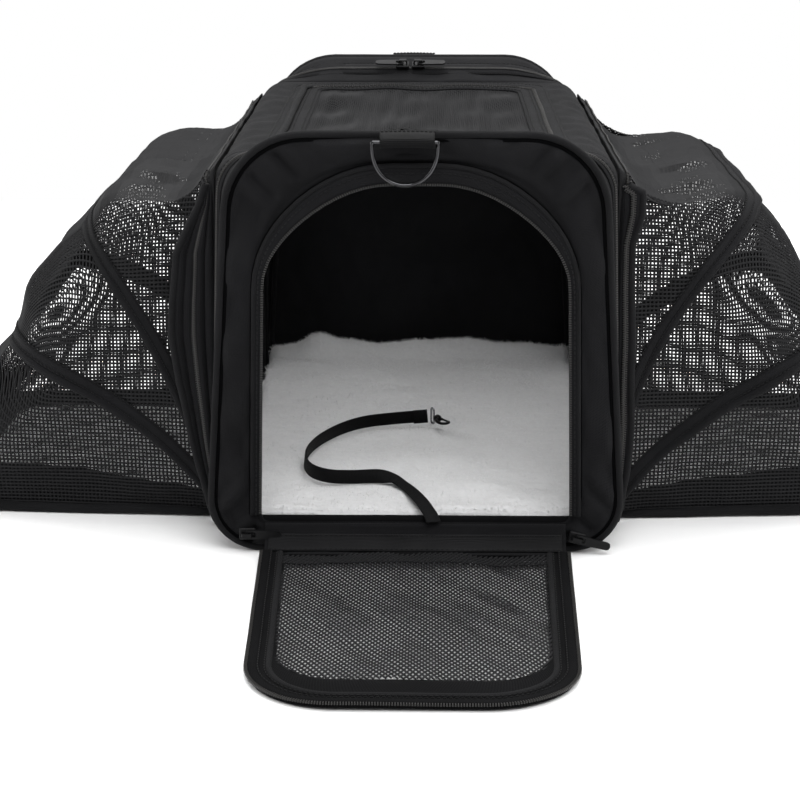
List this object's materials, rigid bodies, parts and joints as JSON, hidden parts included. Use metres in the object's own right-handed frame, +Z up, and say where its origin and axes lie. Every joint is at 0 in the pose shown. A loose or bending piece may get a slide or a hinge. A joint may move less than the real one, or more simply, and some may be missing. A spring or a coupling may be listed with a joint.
{
  "type": "pet carrier bag",
  "caption": "Soft-sided pet carrier bag with a fold-down end door, a top door and two fan-shaped mesh wings that expand from its long sides.",
  "frame": {"origin": "on the floor, under the middle of the bag's body, at the centre of its flat bottom", "axes": "+Z up, +X to the right seen from the door end, -Y out of the end door"},
  "size_m": [0.784, 0.7311, 0.286],
  "materials": {
    "black_fabric": "matte woven polyester",
    "piping": "matte",
    "webbing": "matte woven",
    "zip_tape": "satin",
    "black_mesh": "matte open net",
    "spring_steel": "satin",
    "fleece": "fluffy pile",
    "board": "matte",
    "bright_metal": "polished",
    "dark_metal": "satin"
  },
  "bodies": {
    "root": {"front_panel": "black_fabric", "front_piping": "piping", "front_frame_wire": "spring_steel", "front_gusset": "black_fabric", "front_end_zip": "zip_tape", "rear_panel": "black_fabric", "rear_piping": "piping", "rear_frame_wire": "spring_steel", "rear_gusset": "black_fabric", "rear_end_zip": "zip_tape", "top_panel": "black_fabric", "bottom_panel": "black_fabric", "base_board": "board", "fleece_pad": "fleece", "door_zip_tape": "zip_tape", "left_side_zip_tape": "zip_tape", "right_side_zip_tape": "zip_tape", "front_ring_tab": "webbing", "rear_ring_tab": "webbing", "tether_webbing": "webbing", "tether_swivel": "bright_metal", "left_mesh_inner": "black_mesh", "right_mesh_inner": "black_mesh"},
    "left_hoop_1": {"left_hoop_1_wire": "spring_steel", "left_hoop_1_binding": "webbing", "left_mesh_middle": "black_mesh"},
    "left_hoop_2": {"left_hoop_2_wire": "spring_steel", "left_hoop_2_binding": "webbing", "left_mesh_outer": "black_mesh"},
    "left_floor": {"left_floor_border": "black_fabric", "left_floor_mesh": "black_mesh"},
    "right_hoop_1": {"right_hoop_1_wire": "spring_steel", "right_hoop_1_binding": "webbing", "right_mesh_middle": "black_mesh"},
    "right_hoop_2": {"right_hoop_2_wire": "spring_steel", "right_hoop_2_binding": "webbing", "right_mesh_outer": "black_mesh"},
    "right_floor": {"right_floor_border": "black_fabric", "right_floor_mesh": "black_mesh"},
    "door": {"door_border": "black_fabric", "door_mesh": "black_mesh", "door_zip_half": "zip_tape"},
    "top_door": {"top_door_border": "zip_tape", "top_door_mesh": "black_mesh"},
    "front_zip_slider": {"front_zip_slider": "dark_metal"},
    "front_zip_pull": {"front_zip_pull": "dark_metal"},
    "rear_zip_slider_left": {"rear_zip_slider_left": "dark_metal"},
    "rear_zip_pull_left": {"rear_zip_pull_left": "dark_metal"},
    "rear_zip_slider_right": {"rear_zip_slider_right": "dark_metal"},
    "rear_zip_pull_right": {"rear_zip_pull_right": "dark_metal"},
    "top_door_slider": {"top_door_slider": "dark_metal"},
    "top_door_pull": {"top_door_pull": "dark_metal"},
    "door_slider_right": {"door_slider_right": "dark_metal"},
    "door_pull_right": {"door_pull_right": "dark_metal"},
    "door_slider_left": {"door_slider_left": "dark_metal"},
    "door_pull_left": {"door_pull_left": "dark_metal"},
    "front_ring": {"front_d_ring": "bright_metal"},
    "rear_ring": {"rear_d_ring": "bright_metal"},
    "snap_hook": {"snap_hook": "dark_metal"},
    "snap_hook_gate": {"snap_hook_gate": "dark_metal"}
  },
  "joints": [
    {"name": "door_hinge", "type": "hinge", "parent": "root", "child": "door", "pos_m": [0, -0.2355, 0.0045], "axis": [-1, 0, 0], "range_deg": [0, 90]},
    {"name": "top_door_hinge", "type": "hinge", "parent": "root", "child": "top_door", "pos_m": [-0.093, 0, 0.2665], "axis": [0, -1, 0], "range_deg": [0, 150]},
    {"name": "left_wing_fold", "type": "hinge", "parent": "root", "child": "left_hoop_1", "pos_m": [-0.136, 0, 0.01], "axis": [0, 1, 0], "range_deg": [0, 22], "deforming": ["left_mesh_inner"]},
    {"name": "left_hoop_2_fold", "type": "hinge", "parent": "left_hoop_1", "child": "left_hoop_2", "pos_m": [-0.136, 0, 0.01], "axis": [0, 1, 0], "range_deg": [0, 28], "deforming": ["left_mesh_middle"]},
    {"name": "left_floor_fold", "type": "hinge", "parent": "left_hoop_2", "child": "left_floor", "pos_m": [-0.136, 0, 0.01], "axis": [0, 1, 0], "range_deg": [0, 35.2], "deforming": ["left_mesh_outer"]},
    {"name": "right_wing_fold", "type": "hinge", "parent": "root", "child": "right_hoop_1", "pos_m": [0.136, 0, 0.01], "axis": [0, -1, 0], "range_deg": [0, 22], "deforming": ["right_mesh_inner"]},
    {"name": "right_hoop_2_fold", "type": "hinge", "parent": "right_hoop_1", "child": "right_hoop_2", "pos_m": [0.136, 0, 0.01], "axis": [0, -1, 0], "range_deg": [0, 28], "deforming": ["right_mesh_middle"]},
    {"name": "right_floor_fold", "type": "hinge", "parent": "right_hoop_2", "child": "right_floor", "pos_m": [0.136, 0, 0.01], "axis": [0, -1, 0], "range_deg": [0, 35.2], "deforming": ["right_mesh_outer"]},
    {"name": "front_zip_slider_travel", "type": "slide", "parent": "root", "child": "front_zip_slider", "axis": [1, 0, 0], "range_m": [-0.05, 0.05]},
    {"name": "front_zip_pull_swing", "type": "hinge", "parent": "front_zip_slider", "child": "front_zip_pull", "pos_m": [-0.008, -0.20352, 0.28166], "axis": [0, -0.8797, 0.4755], "range_deg": [0, 165]},
    {"name": "rear_zip_slider_left_travel", "type": "slide", "parent": "root", "child": "rear_zip_slider_left", "axis": [-1, 0, 0], "range_m": [0, 0.05]},
    {"name": "rear_zip_pull_left_swing", "type": "hinge", "parent": "rear_zip_slider_left", "child": "rear_zip_pull_left", "pos_m": [-0.0145, 0.20352, 0.28166], "axis": [0, 0.8797, 0.4755], "range_deg": [0, 150]},
    {"name": "rear_zip_slider_right_travel", "type": "slide", "parent": "root", "child": "rear_zip_slider_right", "axis": [1, 0, 0], "range_m": [0, 0.05]},
    {"name": "rear_zip_pull_right_swing", "type": "hinge", "parent": "rear_zip_slider_right", "child": "rear_zip_pull_right", "pos_m": [-0.0015, 0.20352, 0.28166], "axis": [0, -0.8797, -0.4755], "range_deg": [0, 150]},
    {"name": "top_door_slider_travel", "type": "slide", "parent": "root", "child": "top_door_slider", "axis": [1, 0, 0], "range_m": [-0.09, 0.03]},
    {"name": "top_door_pull_swing", "type": "hinge", "parent": "top_door_slider", "child": "top_door_pull", "pos_m": [0.03, -0.1745, 0.2706], "axis": [0, -1, 0], "range_deg": [0, 165]},
    {"name": "door_slider_right_travel", "type": "slide", "parent": "root", "child": "door_slider_right", "axis": [0, 0, 1], "range_m": [0, 0.11]},
    {"name": "door_pull_right_swing", "type": "hinge", "parent": "door_slider_right", "child": "door_pull_right", "pos_m": [0.109, -0.2337, 0.0115], "axis": [-0.2419, 0, -0.9703], "range_deg": [0, 100]},
    {"name": "door_slider_left_travel", "type": "slide", "parent": "root", "child": "door_slider_left", "axis": [0, 0, 1], "range_m": [0, 0.11]},
    {"name": "door_pull_left_swing", "type": "hinge", "parent": "door_slider_left", "child": "door_pull_left", "pos_m": [-0.1135, -0.2337, 0.0135], "axis": [0, 0, -1], "range_deg": [0, 165]},
    {"name": "front_ring_swing", "type": "hinge", "parent": "root", "child": "front_ring", "pos_m": [-0.007, -0.2425, 0.2805], "axis": [-1, 0, 0], "range_deg": [0, 150]},
    {"name": "rear_ring_swing", "type": "hinge", "parent": "root", "child": "rear_ring", "pos_m": [-0.007, 0.2425, 0.2805], "axis": [1, 0, 0], "range_deg": [0, 150]},
    {"name": "snap_hook_swivel", "type": "hinge", "parent": "root", "child": "snap_hook", "pos_m": [0.0122, -0.0139, 0.033], "axis": [0.4695, -0.8829, 0], "continuous": true},
    {"name": "snap_hook_gate_hinge", "type": "hinge", "parent": "snap_hook", "child": "snap_hook_gate", "pos_m": [0.01912, -0.02211, 0.033], "axis": [0, 0, -1], "range_deg": [0, 20], "stiffness_Nm_per_rad": 0.0005}
  ],
  "couplings": [
    {"joint": "left_hoop_2_fold", "follows": "left_wing_fold", "ratio": 1.2727},
    {"joint": "left_floor_fold", "follows": "left_wing_fold", "ratio": 1.6},
    {"joint": "right_hoop_2_fold", "follows": "right_wing_fold", "ratio": 1.2727},
    {"joint": "right_floor_fold", "follows": "right_wing_fold", "ratio": 1.6}
  ]
}
